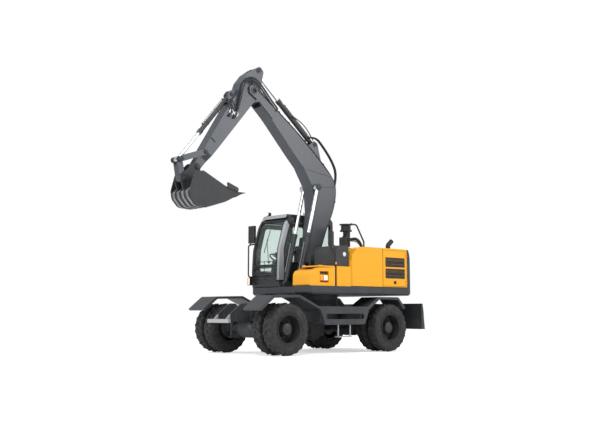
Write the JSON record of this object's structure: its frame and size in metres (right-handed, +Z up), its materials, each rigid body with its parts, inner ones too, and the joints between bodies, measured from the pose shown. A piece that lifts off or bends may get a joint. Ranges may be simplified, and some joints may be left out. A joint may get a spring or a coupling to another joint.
{
  "type": "wheeled excavator",
  "caption": "Wheeled excavator on twin tyres with a bent boom, arm and toothed bucket raised, glazed cab, engine hood, counterweight and dozer blade",
  "frame": {"origin": "on the ground, under the middle of the whole machine with its arm out as in the picture", "axes": "+X towards the front where the bucket is, +Y to the left of the machine, +Z up"},
  "size_m": [5.801, 2.47, 5.9021],
  "materials": {
    "body_paint": "gloss",
    "boom_paint": "satin",
    "dark_paint": "satin",
    "cab_paint": "satin",
    "bucket_steel": "satin",
    "step_metal": "brushed",
    "bare_rod": "polished",
    "tyre_rubber": "matte",
    "window_glass": "gloss",
    "trim_plastic": "matte",
    "seat_fabric": "matte",
    "casting": "satin"
  },
  "bodies": {
    "chassis": {"chassis_frame": "dark_paint", "front_plates": "dark_paint", "outriggers": "dark_paint", "blade_lugs": "dark_paint", "skirt_left": "dark_paint", "skirt_right": "dark_paint", "front_axle": "dark_paint", "rear_axle": "dark_paint", "drive_line": "casting", "slew_ring": "dark_paint", "steps": "step_metal"},
    "steer_left": {"knuckle_left": "dark_paint"},
    "steer_right": {"knuckle_right": "dark_paint"},
    "wheels_front_left": {"tyres_front_left": "tyre_rubber", "rims_front_left": "dark_paint"},
    "wheels_front_right": {"tyres_front_right": "tyre_rubber", "rims_front_right": "dark_paint"},
    "wheels_rear_left": {"tyres_rear_left": "tyre_rubber", "rims_rear_left": "dark_paint"},
    "wheels_rear_right": {"tyres_rear_right": "tyre_rubber", "rims_rear_right": "dark_paint"},
    "upper": {"deck": "dark_paint", "counterweight": "dark_paint", "hood": "body_paint", "engine": "casting", "side_tank": "dark_paint", "tank_cover": "body_paint", "tool_box": "body_paint", "hood_stacks": "trim_plastic", "hand_rails": "trim_plastic", "cab_frame": "cab_paint", "cab_glass": "window_glass", "cab_seat": "seat_fabric", "controls": "trim_plastic", "cab_lamps": "trim_plastic"},
    "cab_door": {"cab_door": "cab_paint", "door_glass": "window_glass"},
    "side_door_left": {"side_door_left": "body_paint"},
    "side_door_right": {"side_door_right": "body_paint"},
    "hood_lid": {"hood_lid": "body_paint"},
    "tool_lid": {"tool_lid": "body_paint"},
    "boom": {"boom": "boom_paint"},
    "boom_barrels": {"boom_barrels": "dark_paint"},
    "boom_rods": {"boom_rods": "bare_rod"},
    "arm": {"arm": "boom_paint"},
    "arm_barrel": {"arm_barrel": "dark_paint"},
    "arm_rod": {"arm_rod": "bare_rod"},
    "bucket": {"bucket": "bucket_steel"},
    "rocker": {"rocker": "boom_paint"},
    "link": {"link": "boom_paint"},
    "bucket_barrel": {"bucket_barrel": "dark_paint"},
    "bucket_rod": {"bucket_rod": "bare_rod"},
    "blade_arms": {"blade_arms": "dark_paint"},
    "blade_links": {"blade_links": "dark_paint"},
    "blade": {"blade": "dark_paint"}
  },
  "joints": [
    {"name": "steer_left", "type": "hinge", "parent": "chassis", "child": "steer_left", "pos_m": [1.052, 0.56, 0.51], "axis": [0, 0, 1], "range_deg": [-27, 27]},
    {"name": "steer_right", "type": "hinge", "parent": "chassis", "child": "steer_right", "pos_m": [1.052, -0.56, 0.51], "axis": [0, 0, 1], "range_deg": [-27, 27]},
    {"name": "roll_front_left", "type": "hinge", "parent": "steer_left", "child": "wheels_front_left", "pos_m": [1.052, 0.9445, 0.51], "axis": [0, 1, 0], "continuous": true},
    {"name": "roll_front_right", "type": "hinge", "parent": "steer_right", "child": "wheels_front_right", "pos_m": [1.052, -0.9445, 0.51], "axis": [0, 1, 0], "continuous": true},
    {"name": "roll_rear_left", "type": "hinge", "parent": "chassis", "child": "wheels_rear_left", "pos_m": [-1.808, 0.9445, 0.51], "axis": [0, 1, 0], "continuous": true},
    {"name": "roll_rear_right", "type": "hinge", "parent": "chassis", "child": "wheels_rear_right", "pos_m": [-1.808, -0.9445, 0.51], "axis": [0, 1, 0], "continuous": true},
    {"name": "slew", "type": "hinge", "parent": "chassis", "child": "upper", "pos_m": [-0.698, 0, 1.195], "axis": [0, 0, 1], "continuous": true},
    {"name": "cab_door", "type": "hinge", "parent": "upper", "child": "cab_door", "pos_m": [-1.0245, -1.217, 2.1], "axis": [0, 0, -1], "range_deg": [0, 85]},
    {"name": "side_door_left", "type": "hinge", "parent": "upper", "child": "side_door_left", "pos_m": [-2.3945, 1.162, 1.775], "axis": [0, 0, 1], "range_deg": [0, 100]},
    {"name": "side_door_right", "type": "hinge", "parent": "upper", "child": "side_door_right", "pos_m": [-2.3945, -1.162, 1.775], "axis": [0, 0, -1], "range_deg": [0, 100]},
    {"name": "hood_lid", "type": "hinge", "parent": "upper", "child": "hood_lid", "pos_m": [-2.3845, 0, 2.212], "axis": [0, -1, 0], "range_deg": [0, 60]},
    {"name": "tool_lid", "type": "hinge", "parent": "upper", "child": "tool_lid", "pos_m": [0.002, 0.628, 1.777], "axis": [1, 0, 0], "range_deg": [0, 80]},
    {"name": "boom", "type": "hinge", "parent": "upper", "child": "boom", "pos_m": [-0.573, 0, 1.94], "axis": [0, -1, 0], "range_deg": [-48, 8]},
    {"name": "boom_barrels", "type": "hinge", "parent": "upper", "child": "boom_barrels", "pos_m": [-0.088, 0, 1.44], "axis": [0, -1, 0], "range_deg": [-37, 7]},
    {"name": "boom_rods", "type": "slide", "parent": "boom_barrels", "child": "boom_rods", "axis": [-0.2453, 0, 0.9695], "range_m": [-0.41, 0.07]},
    {"name": "arm", "type": "hinge", "parent": "boom", "child": "arm", "pos_m": [1.097, 0, 5.37], "axis": [0, 1, 0], "range_deg": [-66, 30]},
    {"name": "arm_barrel", "type": "hinge", "parent": "boom", "child": "arm_barrel", "pos_m": [-0.668, 0, 4.475], "axis": [0, 1, 0], "range_deg": [-1, 0.5]},
    {"name": "arm_rod", "type": "slide", "parent": "arm_barrel", "child": "arm_rod", "axis": [0.7682, 0, 0.6402], "range_m": [-0.505, 0.23]},
    {"name": "bucket", "type": "hinge", "parent": "arm", "child": "bucket", "pos_m": [2.45638, 0, 3.63007], "axis": [0, 1, 0], "range_deg": [-115, 20]},
    {"name": "rocker", "type": "hinge", "parent": "arm", "child": "rocker", "pos_m": [2.29205, 0, 3.93949], "axis": [0, 1, 0], "range_deg": [-74, 13]},
    {"name": "link", "type": "hinge", "parent": "rocker", "child": "link", "pos_m": [2.84239, 0, 3.74511], "axis": [0, 1, 0], "range_deg": [-12, 67]},
    {"name": "bucket_barrel", "type": "hinge", "parent": "arm", "child": "bucket_barrel", "pos_m": [1.62156, 0, 5.21512], "axis": [0, 1, 0], "range_deg": [-13.6, 2.4]},
    {"name": "bucket_rod", "type": "slide", "parent": "bucket_barrel", "child": "bucket_rod", "axis": [0.6389, 0, -0.7693], "range_m": [-0.582, 0.102]},
    {"name": "blade_arms", "type": "hinge", "parent": "chassis", "child": "blade_arms", "pos_m": [-2.308, 0, 0.48], "axis": [0, -1, 0], "range_deg": [0, 66]},
    {"name": "blade_links", "type": "hinge", "parent": "chassis", "child": "blade_links", "pos_m": [-2.308, 0, 0.69], "axis": [0, -1, 0], "range_deg": [0, 66]},
    {"name": "blade_level", "type": "hinge", "parent": "blade_arms", "child": "blade", "pos_m": [-2.71056, 0, 0.74143], "axis": [0, 1, 0], "range_deg": [0, 66]}
  ],
  "couplings": [
    {"joint": "steer_right", "follows": "steer_left", "ratio": 1},
    {"joint": "boom_barrels", "follows": "boom", "ratio": 0.7565},
    {"joint": "boom_rods", "follows": "boom", "m_per_rad": 0.4804},
    {"joint": "arm_barrel", "follows": "arm", "ratio": 0.015},
    {"joint": "arm_rod", "follows": "arm", "m_per_rad": 0.4337},
    {"joint": "rocker", "follows": "bucket", "ratio": 0.6429},
    {"joint": "link", "follows": "bucket", "ratio": -0.5761},
    {"joint": "bucket_barrel", "follows": "bucket", "ratio": 0.1176},
    {"joint": "bucket_rod", "follows": "bucket", "m_per_rad": 0.2886},
    {"joint": "blade_links", "follows": "blade_arms", "ratio": 1},
    {"joint": "blade_level", "follows": "blade_arms", "ratio": 1}
  ]
}
